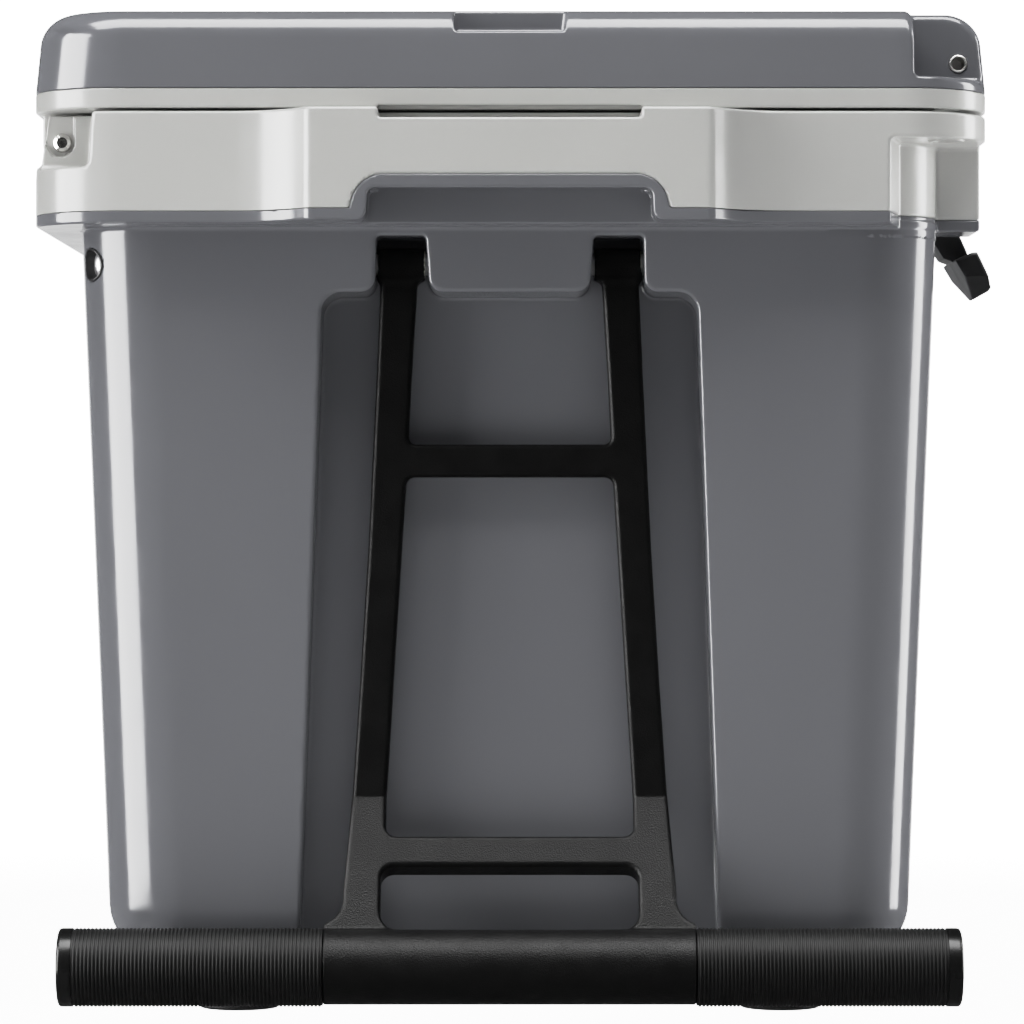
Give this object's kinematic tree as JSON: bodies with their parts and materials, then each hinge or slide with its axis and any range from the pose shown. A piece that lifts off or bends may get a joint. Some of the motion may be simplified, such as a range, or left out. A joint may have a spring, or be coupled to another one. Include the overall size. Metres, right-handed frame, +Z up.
{
  "type": "wheeled cooler",
  "caption": "Hard-sided insulated cooler on wheels, with a hinged lid held by rubber T-latches, a fold-down tow handle, lift grips at both ends and a drain.",
  "frame": {"origin": "middle of the bounding box's underside, on the floor", "axes": "+Z up; +Y from the tow-handle end to the wheel end; +X from the hinge side to the latch side"},
  "size_m": [0.4578, 0.735, 0.4746],
  "materials": {
    "shell_plastic": "smooth glossy injection-moulded plastic, cool mid grey",
    "collar_plastic": "smooth glossy moulded plastic, warm light grey",
    "liner_plastic": "smooth food-grade plastic, light grey",
    "foam": "rigid polyurethane foam, pale yellow",
    "foot_rubber": "matt black rubber",
    "zinc_steel": "zinc-plated steel",
    "bright_steel": "bright stainless steel",
    "sleeve_plastic": "black plastic conduit",
    "hub_plastic": "dark grey moulded plastic",
    "tyre_rubber": "black rubber tread",
    "bush_nylon": "natural nylon",
    "drain_plastic": "black moulded plastic",
    "seal_rubber": "soft black seal rubber",
    "latch_rubber": "smooth black latch rubber",
    "frame_paint": "fine-textured black powder coat on cast aluminium",
    "tube_paint": "black-coated steel tube",
    "grip_rubber": "ribbed black grip rubber",
    "cap_plastic": "black end plugs"
  },
  "bodies": {
    "cooler": {"body_shell": "shell_plastic", "collar": "collar_plastic", "liner": "liner_plastic", "body_foam": "foam", "foot_left": "foot_rubber", "foot_right": "foot_rubber", "foot_screws": "zinc_steel", "axle": "zinc_steel", "axle_sleeve": "sleeve_plastic", "axle_washers": "zinc_steel", "axle_caps": "zinc_steel", "drain_body": "drain_plastic", "drain_nut": "drain_plastic", "drain_seal": "seal_rubber", "hinge_screws": "bright_steel", "tow_pivot_rod": "zinc_steel", "tow_rod_nut": "zinc_steel"},
    "wheel_left": {"wheel_hub_left": "hub_plastic", "tyre_left": "tyre_rubber", "wheel_bush_left": "bush_nylon"},
    "wheel_right": {"wheel_hub_right": "hub_plastic", "tyre_right": "tyre_rubber", "wheel_bush_right": "bush_nylon"},
    "drain_plug": {"drain_cap": "drain_plastic"},
    "lid": {"lid_shell": "shell_plastic", "lid_pan": "collar_plastic", "lid_foam": "foam", "lid_gasket": "seal_rubber", "hinge_bushes": "bush_nylon", "latch_pins": "bright_steel"},
    "near_latch": {"latch_near": "latch_rubber"},
    "far_latch": {"latch_far": "latch_rubber"},
    "tow_handle": {"tow_frame": "frame_paint", "tow_bushes": "bush_nylon", "grip_tube": "tube_paint", "grip_sleeve_left": "grip_rubber", "grip_sleeve_right": "grip_rubber", "grip_caps": "cap_plastic"}
  },
  "joints": [
    {"name": "lid_hinge", "type": "hinge", "parent": "cooler", "child": "lid", "pos_m": [-0.2161, 0, 0.4138], "axis": [0, -1, 0], "range_deg": [0, 95]},
    {"name": "near_latch_hinge", "type": "hinge", "parent": "lid", "child": "near_latch", "pos_m": [0.2064, -0.203, 0.4512], "axis": [0, -1, 0], "range_deg": [0, 110]},
    {"name": "far_latch_hinge", "type": "hinge", "parent": "lid", "child": "far_latch", "pos_m": [0.2064, 0.203, 0.4512], "axis": [0, -1, 0], "range_deg": [0, 110]},
    {"name": "tow_hinge", "type": "hinge", "parent": "cooler", "child": "tow_handle", "pos_m": [-0.0051, -0.295, 0.3575], "axis": [-1, 0, 0], "range_deg": [0, 95]},
    {"name": "left_wheel_spin", "type": "hinge", "parent": "cooler", "child": "wheel_left", "pos_m": [-0.1781, 0.262, 0.075], "axis": [-1, 0, 0], "continuous": true},
    {"name": "right_wheel_spin", "type": "hinge", "parent": "cooler", "child": "wheel_right", "pos_m": [0.1679, 0.262, 0.075], "axis": [-1, 0, 0], "continuous": true},
    {"name": "drain_plug_turn", "type": "hinge", "parent": "cooler", "child": "drain_plug", "pos_m": [-0.1951, -0.19, 0.0885], "axis": [-1, 0, 0], "range_deg": [0, 90]}
  ]
}
